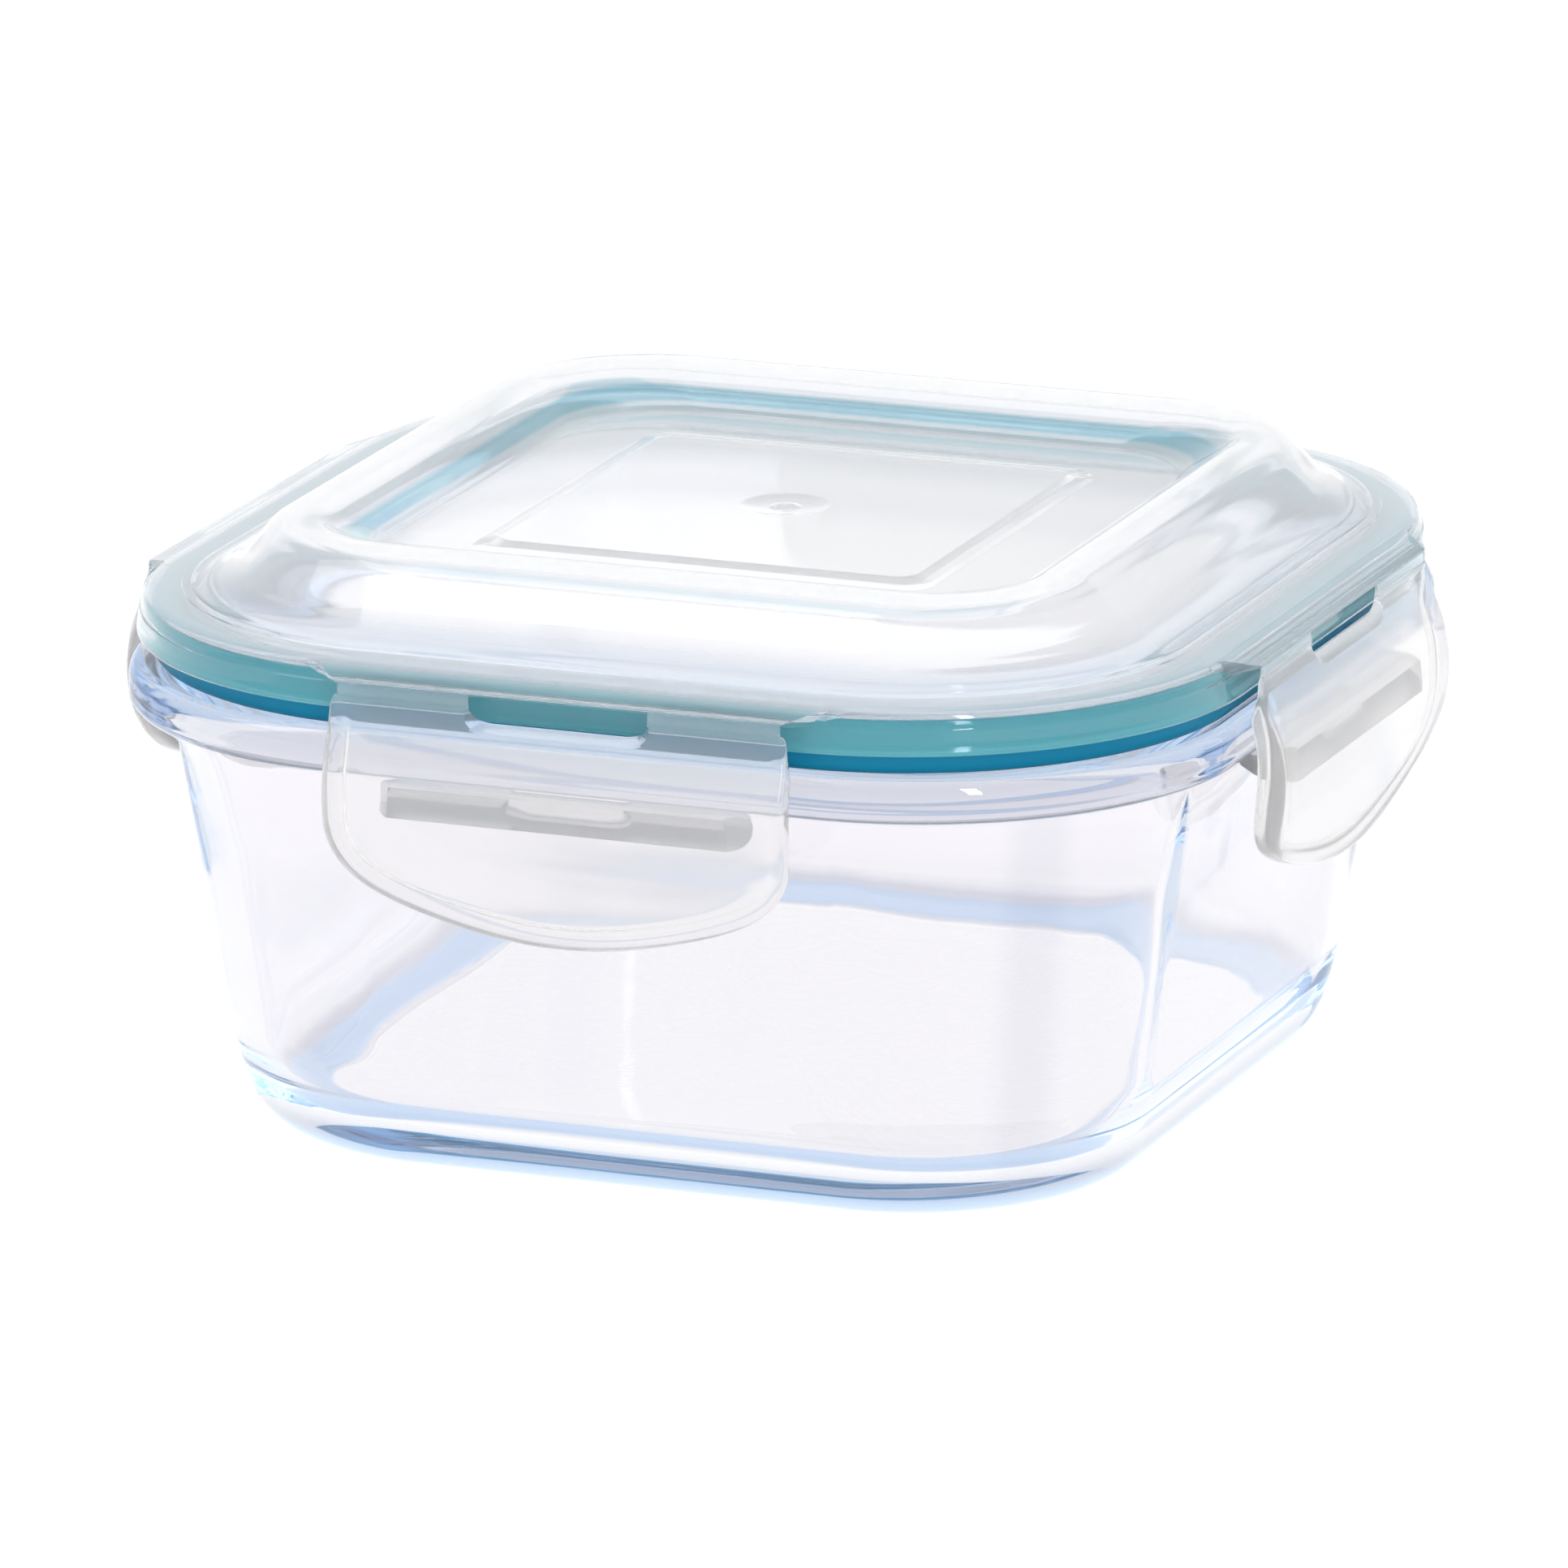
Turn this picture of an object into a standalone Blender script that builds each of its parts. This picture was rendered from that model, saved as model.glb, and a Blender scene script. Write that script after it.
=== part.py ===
"""Square glass storage container with a snap-lock lid: a pressed glass bowl, a polypropylene
lid with four flaps on film hinges, and a silicone gasket in the lid's groove.

Metres, +Z up. The bowl stands on Z = 0 and is centred on the Z axis. The front flap faces -Y.
"""

from math import cos, pi, radians, sin

import bmesh
import bpy
from mathutils import Matrix, Vector

# ---------------------------------------------------------------- driving dimensions, in mm
CORNER_STEPS = 12  # facets in each rounded corner

# Bowl
FLOOR_TOP = 5.0  # top of the thick glass floor
RIM_HALF = 66.9  # half the width across the rim flange
FLANGE_BOTTOM = 51.0
RIM_TOP = 56.3

# Lid
PANEL_TOP = 68.3  # recessed panel inside the ridge
RIDGE_TOP = 72.7
SKIRT_BOTTOM = 58.9
SKIRT_HALF = 66.7
LID_CENTRE = 27.1  # distance from the middle to the centre of the lid's outer corner arcs

# Flaps
HINGE_OUT = 68.8  # distance of each film hinge from the middle
HINGE_Z = 61.8
FLAP_TOP = 61.2
WINDOW_HALF = 10.9  # the slot between the two strips of a film hinge
WINDOW_BOTTOM = 59.4
HINGE_END = 27.0  # outer end of each strip
HINGE_GAP = 0.3

SIDES = (("front", 0), ("right", 90), ("back", 180), ("left", 270))


# ---------------------------------------------------------------- helpers
def material(name, colour, roughness, transmission=0.0, ior=1.45, alpha=1.0):
    made = bpy.data.materials.new(name)
    made.use_nodes = True
    shader = made.node_tree.nodes["Principled BSDF"]
    shader.inputs["Base Color"].default_value = (*colour, 1.0)
    shader.inputs["Roughness"].default_value = roughness
    shader.inputs["Metallic"].default_value = 0.0
    shader.inputs["Transmission Weight"].default_value = transmission
    shader.inputs["IOR"].default_value = ior
    shader.inputs["Alpha"].default_value = alpha
    made.diffuse_color = (*colour, alpha)
    return made


def rounded_square(half, radius, z):
    """The points of a square with rounded corners, in metres, anticlockwise seen from above."""
    found = []
    for quarter in range(4):
        sx, sy = ((1, 1), (-1, 1), (-1, -1), (1, -1))[quarter]
        for k in range(CORNER_STEPS + 1):
            turn = pi / 2 * (quarter + k / CORNER_STEPS)
            x = sx * (half - radius) + radius * cos(turn)
            y = sy * (half - radius) + radius * sin(turn)
            found.append(Vector((x, y, z)) / 1000)
    return found


def finish(name, bm, look, matrix=None, parent=None, sharp=35):
    """Turns the mesh into a smooth-shaded object whose edges over `sharp` degrees stay crisp."""
    bmesh.ops.remove_doubles(bm, verts=bm.verts, dist=1e-7)
    bmesh.ops.recalc_face_normals(bm, faces=bm.faces)
    mesh = bpy.data.meshes.new(name)
    bm.to_mesh(mesh)
    bm.free()
    mesh.shade_smooth()
    mesh.set_sharp_from_angle(angle=radians(sharp))
    mesh.materials.append(look)
    made = bpy.data.objects.new(name, mesh)
    bpy.context.scene.collection.objects.link(made)
    if parent:
        made.parent = parent
    if matrix:
        made.matrix_local = matrix
    return made


def skin(bm, loops, closed):
    """Bridges each loop of points to the next. Caps the two ends, or joins them if closed."""
    rows = [[bm.verts.new(p) for p in loop] for loop in loops]
    pairs = list(zip(rows, rows[1:]))
    if closed:
        pairs.append((rows[-1], rows[0]))
    for low, high in pairs:
        for k in range(len(low)):
            n = (k + 1) % len(low)
            bm.faces.new((low[k], low[n], high[n], high[k]))
    if not closed:
        bm.faces.new(reversed(rows[0]))
        bm.faces.new(rows[-1])


def lofted(name, profile, look, closed=False):
    """A body through rounded squares, each given as (half width, corner radius, height)."""
    bm = bmesh.new()
    skin(bm, [rounded_square(*row) for row in profile], closed)
    return finish(name, bm, look)


def prism(bm, outline, ends):
    """A prism along X of an outline of (out, z). ends(out) gives half the length at that distance."""
    left = [Vector((-ends(out), -out, z)) / 1000 for out, z in outline]
    right = [Vector((ends(out), -out, z)) / 1000 for out, z in outline]
    skin(bm, [left, right], False)


def curve(table, z):
    """Value at height z in rows of (z, value) that go down, joined by straight lines."""
    for (z0, v0), (z1, v1) in zip(table, table[1:]):
        if z >= z1:
            t = min(1.0, (z0 - z) / (z0 - z1))
            return v0 + (v1 - v0) * t
    return table[-1][1]


# ---------------------------------------------------------------- bowl
def glass_bowl(look):
    outside = [
        (46.5, 20.5, 0.0),
        (49.0, 22.8, 0.25),
        (51.2, 24.5, 1.1),
        (53.0, 25.7, 2.6),
        (54.4, 26.4, 5.2),
        (55.4, 27.0, 8.8),
        (56.9, 28.0, 15.5),
        (58.1, 29.0, 24.0),
        (59.2, 30.0, 32.0),
        (60.4, 31.1, 39.5),
        (61.6, 32.2, 47.0),
        (62.0, 32.5, 49.2),
        (62.3, 32.8, 50.2),
        (62.9, 33.4, 50.8),
    ]
    flange = [
        (63.7, 34.1, FLANGE_BOTTOM),
        (65.6, 36.0, FLANGE_BOTTOM),
        (66.5, 36.9, FLANGE_BOTTOM + 0.35),
        (RIM_HALF, 37.2, FLANGE_BOTTOM + 1.2),
        (RIM_HALF, 37.2, RIM_TOP - 2.4),
        (RIM_HALF - 0.2, 37.0, RIM_TOP - 1.3),
        (RIM_HALF - 0.8, 36.5, RIM_TOP - 0.4),
        (RIM_HALF - 1.7, 35.6, RIM_TOP),
        (61.0, 31.6, RIM_TOP),
        (60.2, 30.8, RIM_TOP - 0.2),
        (59.7, 30.4, RIM_TOP - 0.8),
    ]
    inside = [
        (59.4, 30.1, 54.0),
        (58.3, 29.1, 47.0),
        (56.9, 27.8, 39.5),
        (55.4, 26.4, 32.0),
        (54.2, 25.4, 24.0),
        (53.0, 24.3, 16.0),
        (52.2, 23.6, 11.8),
        (51.0, 22.5, 8.7),
        (49.0, 20.8, 6.5),
        (46.4, 18.8, 5.4),
        (43.4, 16.6, FLOOR_TOP),
    ]
    return lofted("glass_bowl", outside + flange + inside, look)


# ---------------------------------------------------------------- lid
def lid_top():
    """The lid's upper face, from the gate mark in the middle out to the foot of the skirt."""
    gate = [
        (0.5, 0.5, 68.8),
        (1.1, 1.1, 68.7),
        (1.5, 1.5, 68.45),
        (3.8, 3.8, 68.5),
        (5.2, 5.2, 68.7),
    ]
    panel = [
        (26.0, 1.4, 68.7),
        (28.0, 2.6, PANEL_TOP),
        (38.2, 12.4, PANEL_TOP - 0.05),
        (38.9, 13.0, PANEL_TOP + 0.15),
        (39.7, 12.9, PANEL_TOP + 0.75),
    ]
    ridge = [
        (42.2, 11.9, 71.0),
        (42.9, 11.8, 71.6),
        (43.6, 12.4, 72.1),
        (44.6, 13.6, 72.5),
        (46.0, 15.3, RIDGE_TOP),
        (47.6, 17.2, RIDGE_TOP - 0.1),
        (49.0, 18.8, 72.1),
        (50.2, 20.0, 71.3),
        (51.0, 20.8, 70.4),
        (53.3, 23.0, 67.8),
        (54.2, 23.8, 67.0),
        (55.2, 25.0, 66.4),
    ]
    flange = [
        (57.4, 28.6, 65.35),
        (60.1, 32.6, 64.7),
        (60.3, 32.9, 64.55),
        (61.2, 33.6, 64.45),
        (61.4, 33.8, 64.3),
        (63.4, 35.6, 64.1),
        (64.6, 36.7, 63.95),
        (65.3, 37.3, 63.7),
        (65.6, 37.6, 63.3),
    ]
    skirt = [
        (66.0, 38.3, 61.9),
        (66.2, 38.6, 61.75),
        (SKIRT_HALF, SKIRT_HALF - LID_CENTRE, SKIRT_BOTTOM + 0.3),
        (SKIRT_HALF - 0.3, SKIRT_HALF - LID_CENTRE - 0.3, SKIRT_BOTTOM),
    ]
    return gate + panel + ridge + flange + skirt


def lid_underside():
    """The lower face, from the skirt in past the gasket groove and the plug wall to the middle."""
    groove = [
        (65.6, 38.5, SKIRT_BOTTOM),
        (65.4, 38.3, SKIRT_BOTTOM + 0.3),
        (65.2, 38.1, 62.6),
        (64.9, 37.8, 62.9),
        (59.3, 31.6, 62.9),
        (59.0, 31.2, 62.6),
    ]
    plug = [
        (58.9, 30.6, 56.2),
        (58.6, 30.3, 55.7),
        (58.0, 29.7, 55.7),
        (57.8, 29.5, 56.0),
        (57.6, 29.2, 62.8),
        (57.0, 28.4, 64.0),
        (55.6, 26.2, 64.9),
    ]
    under_ridge = [
        (53.4, 23.2, 66.0),
        (52.2, 22.0, 66.9),
        (50.0, 19.8, 69.7),
        (49.2, 19.0, 70.5),
        (48.2, 17.8, 71.1),
        (46.4, 15.8, 71.4),
        (44.8, 13.9, 71.25),
        (43.8, 12.8, 70.8),
        (40.6, 13.2, 67.7),
        (39.6, 13.2, 67.1),
        (38.6, 12.8, 66.95),
    ]
    middle = [(28.4, 3.0, 66.95), (26.4, 1.8, 67.3)]
    return groove + plug + under_ridge + middle


def hinge_ledge():
    """The solid ledge that stands out from the skirt to carry one flap."""
    bm = bmesh.new()
    outline = [
        (64.2, 62.9),
        (66.0, 61.95),
        (68.3, 62.3),
        (68.7, 62.4),
        (68.85, 62.6),
        (68.6, 62.85),
        (65.5, 63.75),
        (64.2, 63.9),
    ]
    prism(bm, outline, lambda out: 30.4 - 0.42 * max(0.0, out - 65.5))
    return bm


def lid(look):
    body = lofted("lid", lid_top() + lid_underside(), look)
    for side, turn in SIDES:
        ledge = finish(side + "_ledge_cutter", hinge_ledge(), look)
        ledge.matrix_world = Matrix.Rotation(radians(turn), 4, "Z")
        ledge.hide_render = True
        ledge.display_type = "WIRE"
        union = body.modifiers.new(side + "_ledge", "BOOLEAN")
        union.operation = "UNION"
        union.solver = "EXACT"
        union.object = ledge
    return body


def gasket(look):
    """A ring with a thin sealing lip that rests on the rim of the bowl."""
    section = [
        (64.60, 56.60),
        (64.85, 57.10),
        (64.95, 60.00),
        (64.85, 62.10),
        (64.40, 62.60),
        (60.00, 62.60),
        (59.50, 62.20),
        (59.40, 60.60),
        (60.20, 59.90),
        (61.20, 57.10),
        (61.70, 56.60),
    ]
    profile = [(out, out - LID_CENTRE, z) for out, z in section]
    return lofted("gasket", profile, look, closed=True)


# ---------------------------------------------------------------- flaps
FLAP_OUTER = (  # (height, distance out) of the outer face, which bulges in the middle
    (61.2, 69.05), (60.4, 69.2), (58.8, 69.6), (57.2, 70.25), (55.5, 70.9), (54.0, 71.35),
    (52.4, 71.65), (50.5, 71.85), (49.3, 71.9), (46.8, 71.75), (44.5, 71.4), (42.8, 71.0),
    (41.0, 70.55), (39.5, 70.2), (38.0, 69.95), (36.5, 69.85), (33.9, 69.85),
)
FLAP_INNER = (
    (61.2, 68.6), (60.4, 68.5), (58.8, 68.35), (57.2, 68.4), (55.5, 68.6), (54.0, 68.95),
    (52.4, 69.2), (50.5, 69.3), (49.3, 69.3), (46.8, 69.1), (44.5, 68.75), (42.8, 68.4),
    (41.0, 68.1), (39.5, 67.95), (38.0, 67.9), (33.9, 67.9),
)
FLAP_EDGE = (  # (half width, height) down one side: straight, then a wide D-shaped lower edge
    (26.9, 61.2), (27.5, 60.9), (27.7, 60.2), (27.8, 58.8), (27.9, 57.2), (28.0, 55.5),
    (28.0, 54.0), (28.05, 52.4), (28.1, 50.5), (28.1, 49.0), (28.1, 47.4), (28.0, 45.9),
    (27.65, 44.3), (27.0, 42.8), (26.0, 41.3), (24.6, 40.0), (22.9, 38.9), (20.7, 37.9),
    (18.1, 36.95), (15.2, 36.1), (12.2, 35.35), (9.2, 34.75), (6.2, 34.3), (3.2, 34.0),
    (1.1, 33.9),
)
CATCH = (  # (distance out, height, half length): a hooked bar, widest half way along the hook
    (68.7, 47.6, 20.75), (68.7, 51.2, 20.4), (67.4, 51.1, 22.0), (67.0, 50.65, 22.4),
    (66.0, 50.65, 22.5), (64.8, 50.65, 20.8), (64.1, 50.6, 20.8), (63.7, 50.3, 20.9),
    (63.6, 49.9, 21.2), (64.4, 49.3, 22.2), (66.2, 48.5, 22.7), (67.6, 47.9, 22.3),
)


def inset_edge(distance):
    """FLAP_EDGE moved in by a distance, square to itself."""
    points = [Vector(p) for p in FLAP_EDGE]
    found = []
    for k, p in enumerate(points):
        if k == 0:
            found.append(p + distance * Vector((-1.0, -0.6)))
            continue
        after = points[k + 1] if k + 1 < len(points) else Vector((-1.1, 33.9))
        along = (after - points[k - 1]).normalized()
        found.append(p + distance * Vector((along.y, -along.x)))
    found[-1].x = max(found[-1].x, 0.8)
    return found


def flap_loops():
    """Loops across the thickness, from the inner face to the outer one, with eased edges."""
    loops = []
    for inset, face, ease in (
        (0.8, FLAP_INNER, 0.0),
        (0.25, FLAP_INNER, 0.09),
        (0.0, FLAP_INNER, 0.3),
        (0.0, FLAP_OUTER, -0.3),
        (0.25, FLAP_OUTER, -0.09),
        (0.8, FLAP_OUTER, 0.0),
    ):
        half = []
        for x, z in inset_edge(inset):
            thick = curve(FLAP_OUTER, z) - curve(FLAP_INNER, z)
            half.append((x, curve(face, z) + ease * thick, z))
        both = half + [(-x, out, z) for x, out, z in reversed(half)]
        loops.append([
            Vector((x, HINGE_OUT - out, z - HINGE_Z)) / 1000 for x, out, z in both
        ])
    return loops


def window_cutter():
    """The slot through the top of a flap, between the two strips of its film hinge."""
    bm = bmesh.new()
    w, low, high = WINDOW_HALF, WINDOW_BOTTOM - HINGE_Z, 3.0
    outline = [(w, high), (w, low + 1.7), (w - 0.35, low + 0.8), (w - 1.2, low + 0.25)]
    outline.append((w - 2.8, low))
    outline += [(-x, z) for x, z in reversed(outline)]
    back = [Vector((x, 3.0, z)) / 1000 for x, z in outline]
    front = [Vector((x, -4.0, z)) / 1000 for x, z in outline]
    skin(bm, [back, front], False)
    cutter = finish("window_cutter", bm, bpy.data.materials["lid_plastic"])
    cutter.hide_render = True
    cutter.display_type = "WIRE"
    return cutter.data


def latch(side, turn, look, window):
    """One flap on its hinge axis, with the catch that hooks under the rim."""
    spin = Matrix.Rotation(radians(turn), 4, "Z")
    at = Vector((0.0, -HINGE_OUT, HINGE_Z)) / 1000
    axis = bpy.data.objects.new(side + "_latch_axis", None)
    axis.empty_display_size = 0.01
    bpy.context.scene.collection.objects.link(axis)
    axis.matrix_world = spin @ Matrix.Translation(at)

    bm = bmesh.new()
    loops = flap_loops()
    rows = [[bm.verts.new(p) for p in loop] for loop in loops]
    count = len(rows[0])
    for low, high in zip(rows, rows[1:]):
        for k in range(count):
            n = (k + 1) % count
            bm.faces.new((low[k], low[n], high[n], high[k]))
    for row in (rows[0], rows[-1]):
        for k in range(count // 2 - 1):
            bm.faces.new((row[k], row[k + 1], row[-2 - k], row[-1 - k]))
    flap = finish(side + "_latch", bm, look, parent=axis)
    cutter = bpy.data.objects.new(side + "_window_cutter", window)
    bpy.context.scene.collection.objects.link(cutter)
    cutter.parent = axis
    cutter.hide_render = True
    cutter.display_type = "WIRE"
    cut = flap.modifiers.new("window", "BOOLEAN")
    cut.operation = "DIFFERENCE"
    cut.solver = "EXACT"
    cut.object = cutter

    bm = bmesh.new()
    ends = []
    for sign in (-1, 1):
        ends.append([Vector((sign * half, -out, z)) / 1000 for out, z, half in CATCH])
    skin(bm, ends, False)
    bmesh.ops.triangulate(bm, faces=bm.faces)
    bmesh.ops.transform(bm, matrix=Matrix.Translation(-at), verts=bm.verts)
    finish(side + "_catch", bm, look, parent=axis)


def film_hinges(side, turn, look):
    """The two thin strips that join the lid's ledge to one flap and bend when it swings."""
    spin = Matrix.Rotation(radians(turn), 4, "Z")
    half = (HINGE_END - WINDOW_HALF - 0.5) / 2000
    for end, sign in (("left", -1), ("right", 1)):
        bm = bmesh.new()
        size = (2 * half, 0.0004, (62.1 - FLAP_TOP - HINGE_GAP) / 1000)
        made = bmesh.ops.create_cube(bm, size=1.0)
        bmesh.ops.scale(bm, vec=size, verts=made["verts"])
        name = side + "_film_hinge_" + end
        strip = finish(name, bm, look)
        middle = sign * (WINDOW_HALF + 0.5 + half * 1000)
        at = Vector((middle, -HINGE_OUT, (62.1 + FLAP_TOP + HINGE_GAP) / 2)) / 1000
        strip.matrix_world = spin @ Matrix.Translation(at)


def main():
    for old in list(bpy.data.objects):
        bpy.data.objects.remove(old)

    glass = material("clear_glass", (0.93, 0.95, 1.0), 0.02, transmission=1.0, ior=1.5)
    plastic = material("lid_plastic", (0.90, 0.92, 0.94), 0.22, transmission=0.6, alpha=0.75)
    flap_plastic = material("flap_plastic", (0.93, 0.93, 0.94), 0.25, transmission=0.6, alpha=0.8)
    silicone = material("teal_silicone", (0.0, 0.17, 0.38), 0.45)

    glass_bowl(glass)
    lid(plastic)
    gasket(silicone)
    window = window_cutter()
    for side, turn in SIDES:
        latch(side, turn, flap_plastic, window)
        film_hinges(side, turn, flap_plastic)


main()
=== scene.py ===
"""Glass storage container with a snap-lock lid: looks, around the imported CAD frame."""
from math import cos, pi, radians, sin

import bmesh
import bpy
from mathutils import Matrix, Vector


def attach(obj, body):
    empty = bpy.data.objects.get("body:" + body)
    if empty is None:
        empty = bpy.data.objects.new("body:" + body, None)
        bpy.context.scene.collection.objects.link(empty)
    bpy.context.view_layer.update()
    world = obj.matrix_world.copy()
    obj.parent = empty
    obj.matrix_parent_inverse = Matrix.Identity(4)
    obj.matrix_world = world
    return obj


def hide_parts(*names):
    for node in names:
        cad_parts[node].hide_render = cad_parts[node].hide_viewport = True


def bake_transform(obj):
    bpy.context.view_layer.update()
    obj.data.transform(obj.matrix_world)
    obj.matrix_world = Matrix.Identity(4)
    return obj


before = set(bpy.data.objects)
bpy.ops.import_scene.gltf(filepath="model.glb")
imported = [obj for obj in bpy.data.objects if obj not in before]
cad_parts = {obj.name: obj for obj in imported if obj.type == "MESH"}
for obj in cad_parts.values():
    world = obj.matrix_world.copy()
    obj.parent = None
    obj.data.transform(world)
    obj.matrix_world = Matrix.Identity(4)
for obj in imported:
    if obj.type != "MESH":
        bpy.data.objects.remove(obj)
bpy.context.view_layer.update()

MM = 0.001
SIDES = (("front", 0), ("right", 90), ("back", 180), ("left", 270))
CORNER = 32  # facets in each rounded corner
LID_CENTRE = 27.1  # centre of the lid's corner circles, along X and Y
FLAP_TOP, FLAP_LOW = 61.2, 33.9


# ---------------------------------------------------------------- mesh helpers
def rounded_square(half, radius, z, steps=CORNER):
    """A level loop, half as wide as the square, with rounded corners. All sizes in mm."""
    found = []
    for quarter in range(4):
        sx, sy = ((1, 1), (-1, 1), (-1, -1), (1, -1))[quarter]
        for k in range(steps + 1):
            turn = pi / 2 * (quarter + k / steps)
            x = sx * (half - radius) + radius * cos(turn)
            y = sy * (half - radius) + radius * sin(turn)
            found.append(Vector((x, y, z)) * MM)
    return found


def spline(rows, per=5):
    """Centripetal Catmull-Rom through the rows, with per steps between each two."""
    points = [Vector(r) for r in rows]
    points = [2 * points[0] - points[1]] + points + [2 * points[-1] - points[-2]]
    found = []
    for k in range(1, len(points) - 2):
        p0, p1, p2, p3 = points[k - 1:k + 3]
        t0 = 0.0
        t1 = t0 + max((p1 - p0).length, 1e-6) ** 0.5
        t2 = t1 + max((p2 - p1).length, 1e-6) ** 0.5
        t3 = t2 + max((p3 - p2).length, 1e-6) ** 0.5
        for s in range(per):
            t = t1 + (t2 - t1) * s / per
            a1 = p0 * ((t1 - t) / (t1 - t0)) + p1 * ((t - t0) / (t1 - t0))
            a2 = p1 * ((t2 - t) / (t2 - t1)) + p2 * ((t - t1) / (t2 - t1))
            a3 = p2 * ((t3 - t) / (t3 - t2)) + p3 * ((t - t2) / (t3 - t2))
            b1 = a1 * ((t2 - t) / (t2 - t0)) + a2 * ((t - t0) / (t2 - t0))
            b2 = a2 * ((t3 - t) / (t3 - t1)) + a3 * ((t - t1) / (t3 - t1))
            found.append(b1 * ((t2 - t) / (t2 - t1)) + b2 * ((t - t1) / (t2 - t1)))
    found.append(points[-2])
    return found


def profile(*runs, per=5):
    """Rows along several runs. Each run is smooth, and a crease is kept where two runs meet."""
    rows = []
    for run in runs:
        if len(run) == 2:
            a, b = Vector(run[0]), Vector(run[1])
            near = min(0.15 / max((b - a).length, 1e-6), 0.3)
            dense = [a, a.lerp(b, near), a.lerp(b, 1 - near), b]
        else:
            dense = spline(run, per)
        rows += dense if not rows else dense[1:]
    return rows


def skin(bm, loops, closed=False):
    rows = [[bm.verts.new(p) for p in loop] for loop in loops]
    pairs = list(zip(rows, rows[1:])) + ([(rows[-1], rows[0])] if closed else [])
    for low, high in pairs:
        for k in range(len(low)):
            n = (k + 1) % len(low)
            bm.faces.new((low[k], low[n], high[n], high[k]))
    if not closed:
        bm.faces.new(reversed(rows[0]))
        bm.faces.new(rows[-1])
    return rows


def piece(name, bm, look, sharp=40):
    bmesh.ops.remove_doubles(bm, verts=bm.verts, dist=1e-7)
    bmesh.ops.recalc_face_normals(bm, faces=bm.faces)
    mesh = bpy.data.meshes.new(name)
    bm.to_mesh(mesh)
    bm.free()
    mesh.shade_smooth()
    mesh.set_sharp_from_angle(angle=radians(sharp))
    if look:
        mesh.materials.append(look)
    made = bpy.data.objects.new(name, mesh)
    bpy.context.scene.collection.objects.link(made)
    return made


def lofted(name, rows, look, closed=False, sharp=40):
    bm = bmesh.new()
    skin(bm, [rounded_square(*row) for row in rows], closed)
    return piece(name, bm, look, sharp)


def freeze(obj):
    """Applies the modifiers."""
    bpy.context.view_layer.update()
    graph = bpy.context.evaluated_depsgraph_get()
    mesh = bpy.data.meshes.new_from_object(obj.evaluated_get(graph))
    old, obj.data = obj.data, mesh
    obj.modifiers.clear()
    bpy.data.meshes.remove(old)


# ---------------------------------------------------------------- materials
def shader(name):
    made = bpy.data.materials.new(name)
    made.use_nodes = True
    return made, made.node_tree, made.node_tree.nodes["Principled BSDF"]


def put(tree, kind, **values):
    """A new node, with the named inputs or properties set."""
    node = tree.nodes.new(kind)
    for key, value in values.items():
        if key in node.inputs:
            node.inputs[key].default_value = value
        else:
            setattr(node, key, value)
    return node


def grain(tree, main, scale, detail, low, high, strength, distance):
    """Noise that varies the roughness between low and high, and a fine bump."""
    coords = put(tree, "ShaderNodeTexCoord")
    noise = put(tree, "ShaderNodeTexNoise", Scale=scale, Detail=detail, Roughness=0.55)
    tree.links.new(coords.outputs["Object"], noise.inputs["Vector"])
    span = put(tree, "ShaderNodeMapRange")
    span.inputs["To Min"].default_value = low
    span.inputs["To Max"].default_value = high
    tree.links.new(noise.outputs["Fac"], span.inputs["Value"])
    tree.links.new(span.outputs["Result"], main.inputs["Roughness"])
    bump = put(tree, "ShaderNodeBump", Strength=strength, Distance=distance)
    tree.links.new(noise.outputs["Fac"], bump.inputs["Height"])
    tree.links.new(bump.outputs["Normal"], main.inputs["Normal"])
    return coords, noise


def maths(tree, operation, a, b=None):
    """The result of one step of arithmetic on sockets or numbers."""
    node = tree.nodes.new("ShaderNodeMath")
    node.operation = operation
    for socket, value in zip(node.inputs, (a, b)):
        if isinstance(value, bpy.types.NodeSocket):
            tree.links.new(value, socket)
        elif value is not None:
            socket.default_value = value
    return node.outputs["Value"]


def ramp(tree, value, low, high, bottom=0.0, top=1.0):
    """Goes smoothly from bottom to top as the value goes from low to high."""
    span = put(tree, "ShaderNodeMapRange", interpolation_type="SMOOTHSTEP")
    for name, number in (("From Min", low), ("From Max", high), ("To Min", bottom), ("To Max", top)):
        span.inputs[name].default_value = number
    tree.links.new(value, span.inputs["Value"])
    return span.outputs["Result"]


def axes(tree, coords):
    """Distances from the middle along X and Y, and the height."""
    split = put(tree, "ShaderNodeSeparateXYZ")
    tree.links.new(coords.outputs["Object"], split.inputs["Vector"])
    across, along = (maths(tree, "ABSOLUTE", split.outputs[k]) for k in "XY")
    return across, along, split.outputs["Z"]


def blend_colour(tree, share, first, second):
    """A colour that goes from first to second as share goes from 0 to 1."""
    mix = put(tree, "ShaderNodeMix", data_type="RGBA")
    for socket, value in ((mix.inputs[0], share), (mix.inputs[6], first), (mix.inputs[7], second)):
        if isinstance(value, bpy.types.NodeSocket):
            tree.links.new(value, socket)
        else:
            socket.default_value = (*value, 1)
    return mix.outputs[2]


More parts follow.
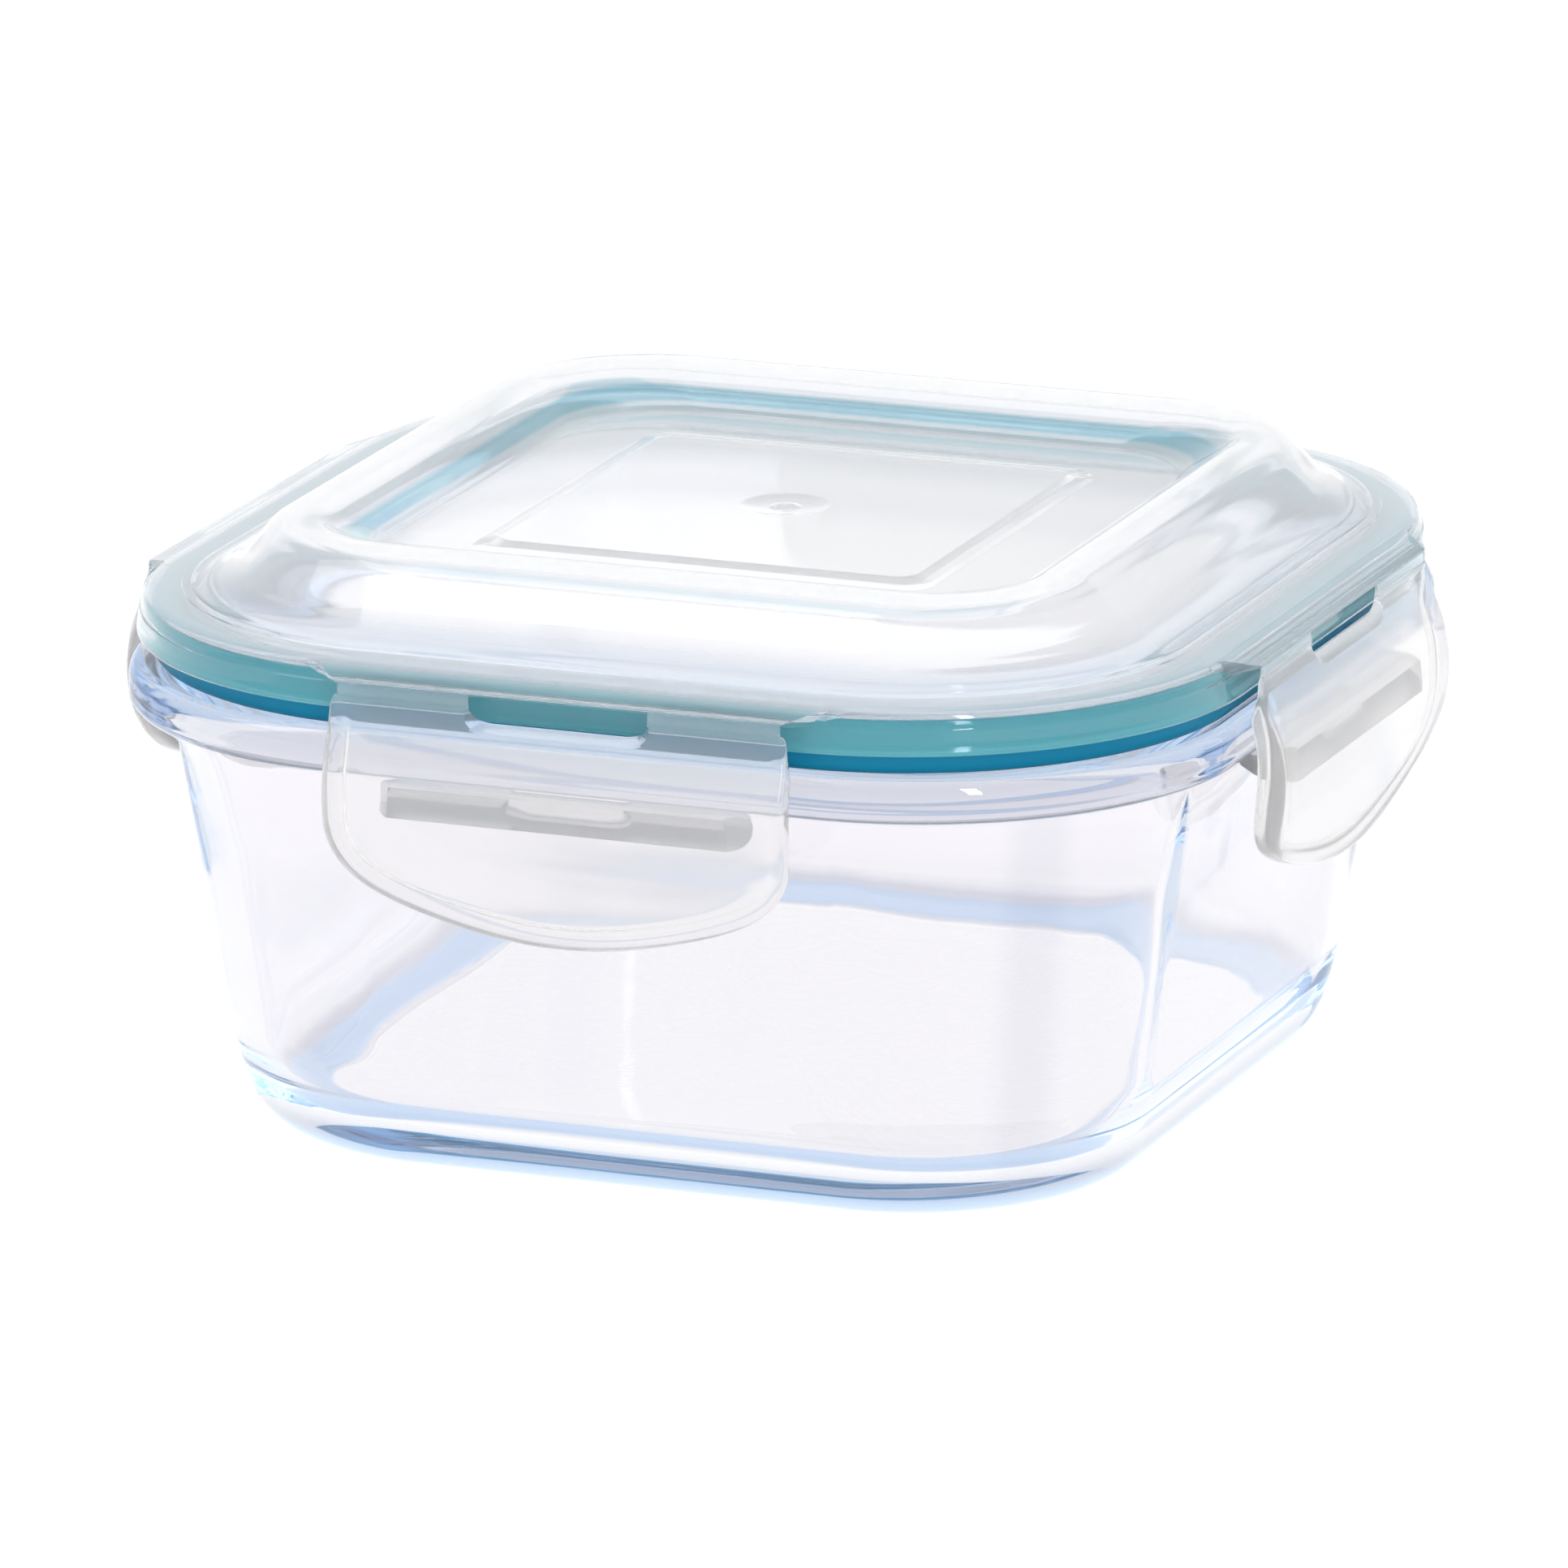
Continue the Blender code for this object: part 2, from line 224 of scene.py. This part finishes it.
def glass_look():
    """Clear in the walls, and faintly lavender in the rim, the thick foot and the corners. The outer
    face of the foot also glows faintly blue, a painted light.
    """
    made, tree, main = shader("pressed_glass")
    main.inputs["Transmission Weight"].default_value = 1.0
    main.inputs["IOR"].default_value = 1.5
    coords, _noise = grain(tree, main, 38, 2, 0.0, 0.01, 0.2, 0.0005)
    across, along, height = axes(tree, coords)
    fourth = [maths(tree, "POWER", value, 4.0) for value in (across, along)]
    out = maths(tree, "POWER", maths(tree, "ADD", *fourth), 0.25)
    # The outer face of the foot lies below this slope, and the inside of the bowl above it.
    slope = maths(tree, "MULTIPLY", maths(tree, "SUBTRACT", out, 0.049), 1.6)
    foot = maths(tree, "MULTIPLY", ramp(tree, height, 0.0040, 0.0072, 1.0, 0.0),
                 ramp(tree, maths(tree, "SUBTRACT", height, slope), 0.0, 0.0028, 1.0, 0.0))
    nearer = maths(tree, "MINIMUM", across, along)
    farther = maths(tree, "MAXIMUM", across, along)
    corner = maths(tree, "MULTIPLY", ramp(tree, out, 0.0520, 0.0545, 0.0, 0.14),
                   ramp(tree, maths(tree, "DIVIDE", nearer, farther), 0.86, 0.96))
    rim = ramp(tree, height, 0.0490, 0.0520, 0.0, 0.42)
    thick = maths(tree, "MAXIMUM", corner, rim)
    colour = blend_colour(tree, thick, (0.935, 0.922, 0.94), (0.38, 0.42, 0.54))
    above = ramp(tree, height, 0.0022, 0.0042)
    lavender = blend_colour(tree, above, (0.30, 0.33, 0.44), (0.42, 0.42, 0.48))
    colour = blend_colour(tree, foot, colour, lavender)
    tree.links.new(colour, main.inputs["Base Color"])
    # Painted light: the outer face of the foot glows faintly, bluer near its bottom edge.
    edge = blend_colour(tree, above, (0.08, 0.18, 0.27), (0.05, 0.06, 0.075))
    tree.links.new(edge, main.inputs["Emission Color"])
    tree.links.new(foot, main.inputs["Emission Strength"])
    tint = put(tree, "ShaderNodeVolumeAbsorption", Density=7.0)
    tint.inputs["Color"].default_value = (0.38, 0.54, 0.74, 1)
    tree.links.new(tint.outputs["Volume"], tree.nodes["Material Output"].inputs["Volume"])
    return made


def plastic_look(name, roughness):
    """Milky plastic under a glossy skin."""
    made, tree, main = shader(name)
    main.inputs["IOR"].default_value = 1.28
    main.inputs["Coat Weight"].default_value = 0.8
    main.inputs["Coat Roughness"].default_value = 0.05
    coords, _noise = grain(tree, main, 160, 3, *roughness, 0.03, 0.0002)
    return made, tree, main, coords


def lid_look():
    """Painted gasket blue: a blue tint in the skirt and a teal band on the inner wall of the ridge
    stand in for the gasket seen through the plastic. The top also carries a faint painted glow.
    """
    made, tree, main, coords = plastic_look("lid_polypropylene", (0.05, 0.1))
    across, along, height = axes(tree, coords)
    clear = maths(tree, "ADD", ramp(tree, height, 0.0629, 0.0640, 0.96, 0.64),
                  ramp(tree, height, 0.0646, 0.0664, 0.0, 0.16))
    tree.links.new(clear, main.inputs["Transmission Weight"])
    # Milky plastic, with a painted blue tint low down in the skirt, standing in for the gasket seen
    # through it.
    milky_and_painted_blue = blend_colour(tree, ramp(tree, height, 0.0625, 0.0638), (0.72, 0.85, 0.90),
                         (0.81, 0.86, 0.92))
    milky_and_painted_blue = blend_colour(tree, ramp(tree, height, 0.0646, 0.0668), milky_and_painted_blue, (0.975, 0.983, 0.99))
    # A painted teal band on the inner wall of the ridge, standing in for the gasket's blue seen
    # through it.
    inside = ramp(tree, maths(tree, "MAXIMUM", across, along), 0.0419, 0.0424, 1.0, 0.0)
    band = maths(tree, "MULTIPLY", ramp(tree, height, 0.0689, 0.0693),
                 ramp(tree, height, 0.0702, 0.0707, 1.0, 0.0))
    colour = blend_colour(tree, maths(tree, "MULTIPLY", inside, band), milky_and_painted_blue, (0.42, 0.72, 0.82))
    tree.links.new(colour, main.inputs["Base Color"])
    tree.links.new(colour, main.inputs["Emission Color"])
    # Painted light: the top of the lid glows faintly in its own colour.
    glow = ramp(tree, height, 0.0655, 0.0685, 0.0, 0.035)
    tree.links.new(glow, main.inputs["Emission Strength"])
    return made


def flap_look():
    """Clearer near the gasket, at the top, and painted bluer there, standing in for the gasket seen
    through the flap: level is the height of the closed flap.
    """
    made, tree, main, _coords = plastic_look("flap_polypropylene", (0.10, 0.16))
    height = put(tree, "ShaderNodeAttribute", attribute_name="level").outputs["Fac"]
    clear = ramp(tree, height, 0.0560, 0.0600, 0.80, 0.87)
    tree.links.new(clear, main.inputs["Transmission Weight"])
    # Painted blue at the top, standing in for the gasket seen through the flap.
    colour = blend_colour(tree, ramp(tree, height, 0.0540, 0.0602), (0.97, 0.962, 0.957),
                          (0.82, 0.91, 0.955))
    tree.links.new(colour, main.inputs["Base Color"])
    return made


def silicone_look():
    """Silicone with painted light: lighter and greener up in the groove, where light comes through
    the lid.
    """
    made, tree, main = shader("teal_silicone")
    coords, _noise = grain(tree, main, 900, 3, 0.38, 0.52, 0.2, 0.0001)
    main.inputs["Specular IOR Level"].default_value = 0.2
    # Painted light: the upper part of the ring is painted lighter, as if lit through the lid.
    lit = ramp(tree, axes(tree, coords)[2], 0.0585, 0.0592)
    colour = blend_colour(tree, lit, (0.0, 0.22, 0.38), (0.02, 0.56, 0.60))
    tree.links.new(colour, main.inputs["Base Color"])
    return made


GLASS = glass_look()
LID = lid_look()
FLAP = flap_look()
SILICONE = silicone_look()


# ---------------------------------------------------------------- bowl
def make_bowl():
    """Rows are half width, corner radius and height, from the foot up and down the inside."""
    base = [(0.6, 0.6, 0.0), (46.5, 20.5, 0.0)]
    outside = [
        (46.5, 20.5, 0.0), (49.0, 22.8, 0.25), (51.2, 24.5, 1.1), (53.0, 25.7, 2.6),
        (54.4, 26.4, 5.2), (55.4, 27.0, 8.8), (56.9, 28.0, 15.5), (58.1, 29.0, 24.0),
        (59.2, 30.0, 32.0), (60.4, 31.1, 39.5), (61.6, 32.2, 47.0), (62.0, 32.5, 49.2),
        (62.3, 32.8, 50.2), (62.9, 33.4, 50.8), (63.7, 34.1, 51.0),
    ]
    lip = [(63.7, 34.1, 51.0), (65.6, 36.0, 51.0)]
    side = [
        (65.6, 36.0, 51.0), (66.5, 36.9, 51.35), (66.9, 37.2, 52.2), (66.9, 37.2, 53.0),
        (66.9, 37.2, 53.9), (66.7, 37.0, 55.0), (66.1, 36.5, 55.9), (65.2, 35.6, 56.3),
    ]
    top = [(65.2, 35.6, 56.3), (61.0, 31.6, 56.3)]
    inside = [
        (61.0, 31.6, 56.3), (60.2, 30.8, 56.1), (59.7, 30.4, 55.5), (59.4, 30.1, 54.0),
        (58.3, 29.1, 47.0), (56.9, 27.8, 39.5), (55.4, 26.4, 32.0), (54.2, 25.4, 24.0),
        (53.0, 24.3, 16.0), (52.2, 23.6, 11.8), (51.0, 22.5, 8.7), (49.0, 20.8, 6.5),
        (46.4, 18.8, 5.4), (43.4, 16.6, 5.0),
    ]
    floor = [(43.4, 16.6, 5.0), (0.6, 0.6, 5.0)]
    rows = profile(base, outside, lip, side, top, inside, floor, per=5)
    bowl = lofted("bowl_of_pressed_glass", rows, GLASS, sharp=60)
    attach(bowl, "bowl")
    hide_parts("glass_bowl")


# ---------------------------------------------------------------- lid
def ledge():
    """The ledge that carries one flap, with flared ends that run into the skirt."""
    outline = [
        (64.2, 62.9), (66.0, 61.95), (67.4, 62.15), (68.0, 62.25), (68.3, 62.3), (68.65, 62.38),
        (68.82, 62.5), (68.84, 62.64), (68.7, 62.8), (68.3, 62.93), (67.9, 63.05), (67.3, 63.22),
        (65.6, 63.72), (64.2, 63.9),
    ]

    def half(out, z):
        flare = 0.4 * max(0.0, 68.9 - out) + 0.2 * max(0.0, 67.6 - out) ** 2
        rounding = 1.3 * max(0.0, out - 68.0) ** 1.5
        return 28.3 + flare - rounding - 0.9 * max(0.0, 62.8 - z)

    bm = bmesh.new()
    left = [Vector((-half(out, z), -out, z)) * MM for out, z in outline]
    right = [Vector((half(out, z), -out, z)) * MM for out, z in outline]
    skin(bm, [left, right])
    return bm


def make_lid():
    """One moulding, from the gate mark out over the top, then back along the underside."""
    gate = [(0.3, 0.3, 68.82), (0.8, 0.8, 68.78), (1.2, 1.2, 68.6), (1.6, 1.6, 68.45),
            (2.6, 2.6, 68.44), (3.8, 3.8, 68.52), (5.2, 5.2, 68.7)]
    plateau = [(5.2, 5.2, 68.7), (25.9, 2.4, 68.7)]
    band = [(25.9, 2.4, 68.7), (26.3, 2.7, 68.6), (27.7, 3.5, 68.36), (28.1, 3.8, 68.3)]
    panel = [(28.1, 3.8, 68.3), (38.0, 12.2, 68.25)]
    ridge = [
        (38.0, 12.2, 68.25), (38.9, 13.0, 68.45), (39.7, 12.9, 69.05), (42.2, 11.9, 71.0),
        (42.9, 11.8, 71.6), (43.6, 12.4, 72.1), (44.6, 13.6, 72.5), (46.0, 15.3, 72.7),
        (47.6, 17.2, 72.6), (49.0, 18.8, 72.1), (50.2, 20.0, 71.3), (51.0, 20.8, 70.4),
        (53.3, 23.0, 67.8), (54.2, 23.8, 67.0), (55.2, 25.0, 66.4), (57.4, 28.6, 65.35),
        (60.1, 32.6, 64.7),
    ]
    step_a = [(60.1, 32.6, 64.7), (60.25, 32.8, 64.55)]
    shelf = [(60.25, 32.8, 64.55), (61.2, 33.6, 64.45)]
    step_b = [(61.2, 33.6, 64.45), (61.35, 33.8, 64.3)]
    edge = [(61.35, 33.8, 64.3), (63.4, 35.6, 64.1), (64.6, 36.7, 63.95), (65.3, 37.3, 63.7),
            (65.6, 37.6, 63.3), (65.8, 37.95, 62.6), (66.0, 38.3, 61.9)]
    bead = [(66.0, 38.3, 61.9), (66.2, 38.6, 61.75)]
    skirt = [(66.2, 38.6, 61.75), (66.45, 39.1, 60.5), (66.7, 39.6, 59.3), (66.6, 39.5, 59.0),
             (66.3, 39.2, 58.9), (65.7, 38.6, 58.9), (65.45, 38.4, 59.2)]
    groove = [(65.45, 38.4, 59.2), (65.2, 38.1, 62.6), (64.9, 37.8, 62.9), (59.3, 31.6, 62.9),
              (59.0, 31.2, 62.6)]
    plug = [(59.0, 31.2, 62.6), (58.9, 30.6, 56.2), (58.6, 30.3, 55.7), (58.0, 29.7, 55.7),
            (57.8, 29.5, 56.0), (57.6, 29.2, 62.8), (57.0, 28.4, 64.0), (55.6, 26.2, 64.9),
            (53.4, 23.2, 66.0), (52.2, 22.0, 66.9), (50.0, 19.8, 69.7), (49.2, 19.0, 70.5),
            (48.2, 17.8, 71.1), (46.4, 15.8, 71.4), (44.8, 13.9, 71.25), (43.8, 12.8, 70.8),
            (40.6, 13.2, 67.7), (39.6, 13.2, 67.1), (38.6, 12.8, 66.95)]
    under = [(38.6, 12.8, 66.95), (28.4, 3.0, 66.95), (26.4, 1.8, 67.3), (0.4, 0.4, 67.3)]
    rows = profile(gate, plateau, band, panel, ridge, step_a, shelf, step_b, edge, bead, skirt,
                   per=5)
    for run in (groove, plug):
        rows += profile(run, per=3)[1:]
    for run in (under[:2], under[1:3], under[2:]):
        rows += profile(run)[1:]
    lid = lofted("lid_moulding", rows, LID, sharp=50)
    for side, turn in SIDES:
        added = piece(side + "_ledge", ledge(), LID)
        added.matrix_world = Matrix.Rotation(radians(turn), 4, "Z")
        union = lid.modifiers.new(side, "BOOLEAN")
        union.operation, union.solver, union.object = "UNION", "EXACT", added
    freeze(lid)
    lid.data.set_sharp_from_angle(angle=radians(38))
    for side, _turn in SIDES:
        bpy.data.objects.remove(bpy.data.objects[side + "_ledge"])
    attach(lid, "lid")
    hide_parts("lid")


def make_gasket():
    """The ring fills the groove, and its lip reaches down to the rim of the bowl."""
    section = [
        (64.50, 56.50), (64.85, 57.0), (65.0, 59.00), (64.95, 61.0), (64.85, 62.10),
        (64.40, 62.60), (60.00, 62.60), (59.50, 62.20), (59.40, 60.60), (60.20, 59.70),
        (61.20, 57.10), (61.70, 56.50), (63.0, 56.42),
    ]
    ring = spline(section + section[:1], 4)[:-1]
    rows = [(out, out - LID_CENTRE, z) for out, z in ring]
    gasket = lofted("silicone_gasket", rows, SILICONE, closed=True, sharp=60)
    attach(gasket, "lid")
    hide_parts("gasket")


# ---------------------------------------------------------------- flaps
FLAP_OUTER = (  # (height, distance out) of the outer face, which bulges in the middle
    (61.2, 69.02), (60.75, 69.05), (60.4, 69.14), (60.15, 69.36), (59.8, 69.5),
    (58.8, 69.72), (57.2, 70.25), (55.5, 70.88), (54.0, 71.35),
    (52.4, 71.65), (50.5, 71.85), (49.3, 71.9), (46.8, 71.75), (44.5, 71.4), (42.8, 71.0),
    (41.0, 70.55), (39.5, 70.2), (38.0, 69.95), (36.5, 69.85), (33.9, 69.85),
)
FLAP_INNER = (
    (61.2, 68.6), (60.4, 68.5), (58.8, 68.35), (57.2, 68.4), (55.5, 68.6), (54.0, 68.95),
    (52.4, 69.2), (50.5, 69.3), (49.3, 69.3), (46.8, 69.1), (44.5, 68.75), (42.8, 68.4),
    (41.0, 68.1), (39.5, 67.95), (38.0, 67.9), (36.5, 67.9), (33.9, 67.9),
)
FLAP_EDGE = (  # (half width, height) down one side, then a wide D-shaped lower edge
    (27.2, 61.2), (27.5, 60.9), (27.7, 60.2), (27.8, 58.8), (27.9, 57.2), (28.0, 55.5),
    (28.0, 54.0), (28.05, 52.4), (28.1, 50.5), (28.1, 49.0), (28.1, 47.4), (28.0, 45.9),
    (27.65, 44.3), (27.0, 42.8), (26.0, 41.3), (24.6, 40.0), (22.9, 38.9), (20.7, 37.9),
    (18.1, 36.95), (15.2, 36.1), (12.2, 35.35), (9.2, 34.75), (6.2, 34.3), (3.2, 34.0),
    (0.0, 33.9),
)
CATCH = (  # (distance out, height, half length): a hooked bar, widest half way along the hook
    (69.2, 47.6, 20.75), (69.35, 49.0, 20.6), (69.35, 50.4, 20.5), (69.35, 51.1, 20.4),
    (69.0, 51.25, 20.5), (68.2, 51.25, 21.2), (67.5, 51.1, 21.9), (67.1, 50.78, 22.3),
    (66.0, 50.68, 22.5), (65.4, 50.68, 22.0), (64.8, 50.7, 20.9), (64.1, 50.62, 20.8),
    (63.75, 50.35, 20.9), (63.62, 49.9, 21.2), (64.4, 49.3, 22.2), (66.2, 48.5, 22.7),
    (67.6, 47.9, 22.3), (68.5, 47.6, 21.5),
)
CATCH_TIP = 20.8  # half length of the tip of a catch
NOTCH = 7.1  # half length of the notch in the tip
ACROSS = 24  # facets across a flap


def smooth_table(table, per=6):
    """The rows of a table, with a smooth curve's points added between them."""
    return [(p.x, p.y) for p in (Vector(v[:2]) for v in spline([(*row, 0) for row in table], per))]


def curve(table, z):
    """Value at height z in a table of (z, value) that goes down."""
    for (z0, v0), (z1, v1) in zip(table, table[1:]):
        if z >= z1:
            return v0 + (v1 - v0) * min(1.0, (z0 - z) / (z0 - z1))
    return table[-1][1]


def flap_mesh():
    """The blade of a flap, for the front side: an edge all round, and a grid over each face."""
    outer, inner = smooth_table(FLAP_OUTER), smooth_table(FLAP_INNER)
    edge = [Vector(p) for p in smooth_table(FLAP_EDGE, 3)]
    spans = [-1 + 2 * s / ACROSS for s in range(ACROSS + 1)]
    bm = bmesh.new()
    layers = []
    # (distance in from the edge, share of the thickness from the inner face, border's depth)
    for inset, share, border in (
        (2.7, 0.0, 0.0), (2.2, 0.0, 0.35), (1.8, 0.0, 0.8), (1.15, 0.0, 0.95),
        (0.7, 0.02, 0.95), (0.3, 0.09, 0.88), (0.08, 0.2, 0.7), (0.0, 0.36, 0.35),
        (0.0, 0.64, 0.0), (0.09, 0.8, 0.0), (0.32, 0.91, 0.0), (0.7, 0.98, 0.0), (1.15, 1.0, 0.0),
    ):
        side = []
        for k, p in enumerate(edge[:-1]):
            along = (edge[k + 1] - edge[max(k - 1, 0)]).normalized()
            if p.y > 57.0:  # the straight side and the hinge land: in along X only
                eased = inset * min(1.0, 0.1 + (FLAP_TOP - p.y) / 3.0)
                q = Vector((p.x - eased, min(p.y, FLAP_TOP - 0.06 * inset)))
            else:
                q = p + inset * Vector((along.y, -along.x))
            if side:
                q.y = min(q.y, side[-1].y - 0.012)
            side.append(q)
        side.append(Vector((0.0, FLAP_LOW + inset)))

        def point(x, z):
            out = curve(inner, z) + share * (curve(outer, z) - curve(inner, z))
            out -= border * min(1.0, max(0.0, (59.0 - z) / 3.0))
            return bm.verts.new(Vector((x, -out, z)) * MM)

        top = [point(side[0].x * s, side[0].y) for s in spans]
        right = [point(q.x, q.y) for q in side[1:]]
        left = [point(-q.x, q.y) for q in reversed(side[1:-1])]
        layers.append((top, right, left))
    for low, high in zip(layers, layers[1:]):
        a, b = sum(low, []), sum(high, [])
        for k in range(len(a)):
            n = (k + 1) % len(a)
            bm.faces.new((a[k], a[n], b[n], b[k]))
    for top, right, left in (layers[0], layers[-1]):
        above = top
        for r, l in zip(right[:-1], reversed(left)):
            row = [l] + [bm.verts.new(l.co.lerp(r.co, (s + 1) / 2)) for s in spans[1:-1]] + [r]
            for k in range(ACROSS):
                bm.faces.new((above[k], above[k + 1], row[k + 1], row[k]))
            above = row
        for k in range(ACROSS):
            bm.faces.new((above[k], above[k + 1], right[-1]))
    return bm


def window_mesh():
    """The slot between the two strips of a film hinge, chamfered towards the outside."""
    bm = bmesh.new()
    loops = []
    for out, w, low in ((67.0, 10.6, 60.3), (74.0, 12.7, 55.65)):
        half = [(w, 63.0), (w, low + 2.0), (w - 0.1, low + 1.4), (w - 0.45, low + 0.85),
                (w - 1.0, low + 0.42), (w - 1.8, low + 0.14), (w - 2.8, low)]
        outline = half + [(-x, z) for x, z in reversed(half)]
        loops.append([Vector((x, -out, z)) * MM for x, z in outline])
    skin(bm, loops)
    return bm


def film_mesh(sign):
    """One thin strip, from inside the flap's top edge up into the ledge."""
    rows = [60.9, 61.15, 61.3, 61.45, 61.6, 61.75, 61.9, 62.05, 62.2, 62.4, 62.5]
    near, far = 10.95, 26.9
    bm = bmesh.new()
    loops = []
    for z in rows:
        flare = 0.14 * max(0.0, (61.35 - z) / 0.45)
        lift = 0.10 * max(0.0, (z - 62.15) / 0.35)
        inner, outer = 68.62 - flare - lift, 68.98 + flare * 0.6 - lift * 1.5
        loops.append([
            Vector((sign * x, -out, z)) * MM
            for x, out in ((near, inner), (far, inner), (far, outer), (near, outer))
        ])
    skin(bm, loops)
    return bm


def catch_mesh():
    """The hooked bar inside the front flap, with a shallow notch in the middle of its tip."""
    bm = bmesh.new()
    notch = NOTCH / CATCH_TIP
    shares = [-1.0, -0.985, -0.94, -0.7, -0.5, -0.36]
    loops = []
    for share in shares + [-notch - 0.004, -notch + 0.004, -0.2, 0.0]:
        loop = []
        for out, z, half in CATCH:
            x = share * half
            if abs(share) < notch:
                x = share * CATCH_TIP
                if out < 65.3:
                    out = 65.1 + 0.15 * (out - 63.62)
            loop.append(Vector((x, -out, z)) * MM)
        loops.append(loop)
    mirrored = [[Vector((-p.x, p.y, p.z)) for p in loop] for loop in reversed(loops[:-1])]
    skin(bm, loops + mirrored)
    return bm


def cut(obj, other, operation):
    """Joins other to obj, or cuts it away, and removes it."""
    change = obj.modifiers.new(operation, "BOOLEAN")
    change.operation, change.solver, change.object = operation, "EXACT", other
    freeze(obj)
    bpy.data.objects.remove(other)


def make_flaps():
    """Each flap is one moulding, with the strips of its film hinge where it joins the lid, and a
    catch inside it.
    """
    flap = piece("flap", flap_mesh(), FLAP, 50)
    cut(flap, piece("window", window_mesh(), FLAP), "DIFFERENCE")
    for sign in (-1, 1):
        cut(flap, piece("film", film_mesh(sign), FLAP), "UNION")
    flap.data.set_sharp_from_angle(angle=radians(42))
    level = flap.data.attributes.new("level", "FLOAT", "POINT")
    level.data.foreach_set("value", [point.co.z for point in flap.data.vertices])
    catch = piece("catch", catch_mesh(), FLAP, 50)
    bpy.context.scene.collection.objects.unlink(flap)
    bpy.context.scene.collection.objects.unlink(catch)
    for side, turn in SIDES:
        spin = Matrix.Rotation(radians(turn), 4, "Z")
        made = bpy.data.objects.new(side + "_flap_moulding", flap.data.copy())
        made.data.transform(spin)
        bpy.context.scene.collection.objects.link(made)
        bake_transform(made)
        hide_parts(side + "_latch", side + "_film_hinge_left", side + "_film_hinge_right")
        hook = bpy.data.objects.new(side + "_catch_moulding", catch.data.copy())
        hook.data.transform(spin)
        bpy.context.scene.collection.objects.link(hook)
        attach(hook, side + "_flap")
        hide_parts(side + "_catch")
    for helper in (flap, catch):
        bpy.data.objects.remove(helper)


# ---------------------------------------------------------------- set
FOCAL = 19960 / 1932  # focal length, in frame widths
DISTANCE = 1.764  # from the camera to the point it looks at


def make_set():
    """A pale floor that glows softly, under a sky that is paler in front than behind."""
    bm = bmesh.new()
    bmesh.ops.create_grid(bm, x_segments=1, y_segments=1, size=6.0)
    look, tree, main = shader("pale_floor")
    main.inputs["Base Color"].default_value = (0.12, 0.12, 0.12, 1)
    main.inputs["Roughness"].default_value = 0.6
    main.inputs["Emission Color"].default_value = (1.0, 1.0, 1.0, 1)
    main.inputs["Emission Strength"].default_value = 0.94
    floor = piece("floor", bm, look)

    world = bpy.data.worlds.new("studio")
    bpy.context.scene.world = world
    world.use_nodes = True
    tree = world.node_tree
    back = tree.nodes["Background"]
    coords = put(tree, "ShaderNodeTexCoord")
    split = put(tree, "ShaderNodeSeparateXYZ")
    tree.links.new(coords.outputs["Generated"], split.inputs["Vector"])
    sky = put(tree, "ShaderNodeValToRGB")
    dark, light = sky.color_ramp.elements
    dark.position, dark.color = 0.0, (0.72, 0.72, 0.78, 1)
    light.position, light.color = 0.66, (1.0, 1.0, 1.0, 1)
    width = put(tree, "ShaderNodeMath", operation="ABSOLUTE")
    tree.links.new(split.outputs["X"], width.inputs[0])
    less = put(tree, "ShaderNodeMath", operation="MULTIPLY_ADD")
    less.inputs[1].default_value = -0.9
    tree.links.new(width.outputs[0], less.inputs[0])
    tree.links.new(split.outputs["Y"], less.inputs[2])
    turn = put(tree, "ShaderNodeMapRange")
    turn.inputs["From Min"].default_value = -1
    turn.inputs["From Max"].default_value = 1
    tree.links.new(less.outputs[0], turn.inputs["Value"])
    tree.links.new(turn.outputs["Result"], sky.inputs["Fac"])
    tree.links.new(sky.outputs["Color"], back.inputs["Color"])
    back.inputs["Strength"].default_value = 1.03


def area(name, at, towards, size, power):
    """A white rectangular lamp at one point, facing another."""
    lamp = bpy.data.lights.new(name, "AREA")
    lamp.shape, lamp.size, lamp.size_y = "RECTANGLE", size[0], size[1]
    lamp.energy = power
    obj = bpy.data.objects.new(name, lamp)
    bpy.context.scene.collection.objects.link(obj)
    obj.location = at
    obj.rotation_euler = (Vector(towards) - Vector(at)).to_track_quat("-Z", "Y").to_euler()


def make_camera():
    """A long lens a little above the lid, which sees the front and right sides."""
    azimuth, elevation, roll = radians(22.11), radians(15.68), radians(-0.60)
    target = Vector((0.0441, -0.1100, 0.0683))
    away = Vector((sin(azimuth) * cos(elevation), -cos(azimuth) * cos(elevation), sin(elevation)))
    right = Vector((0, 0, 1)).cross(away).normalized()
    up = away.cross(right)
    right, up = cos(roll) * right + sin(roll) * up, cos(roll) * up - sin(roll) * right
    data = bpy.data.cameras.new("camera")
    data.sensor_width, data.lens = 36.0, 36.0 * FOCAL
    data.clip_start, data.clip_end = 0.05, 50
    camera = bpy.data.objects.new("camera", data)
    bpy.context.scene.collection.objects.link(camera)
    turn = Matrix((right, up, away)).transposed().to_4x4()
    camera.matrix_world = Matrix.Translation(target + away * DISTANCE) @ turn
    bpy.context.scene.camera = camera


scene = bpy.context.scene
scene.view_settings.view_transform = "Standard"
scene.cycles.max_bounces = 48
scene.cycles.transmission_bounces = 48
scene.cycles.glossy_bounces = 48
scene.cycles.diffuse_bounces = 6
scene.cycles.transparent_max_bounces = 16
scene.cycles.caustics_refractive = True

make_camera()
make_bowl()
make_lid()
make_gasket()
make_flaps()
make_set()
area("key", (-0.9, -0.5, 1.3), (0, 0, 0.05), (0.9, 0.9), 4)
area("strip", (0.75, -1.0, 0.75), (0, 0, 0.05), (0.12, 0.9), 4)
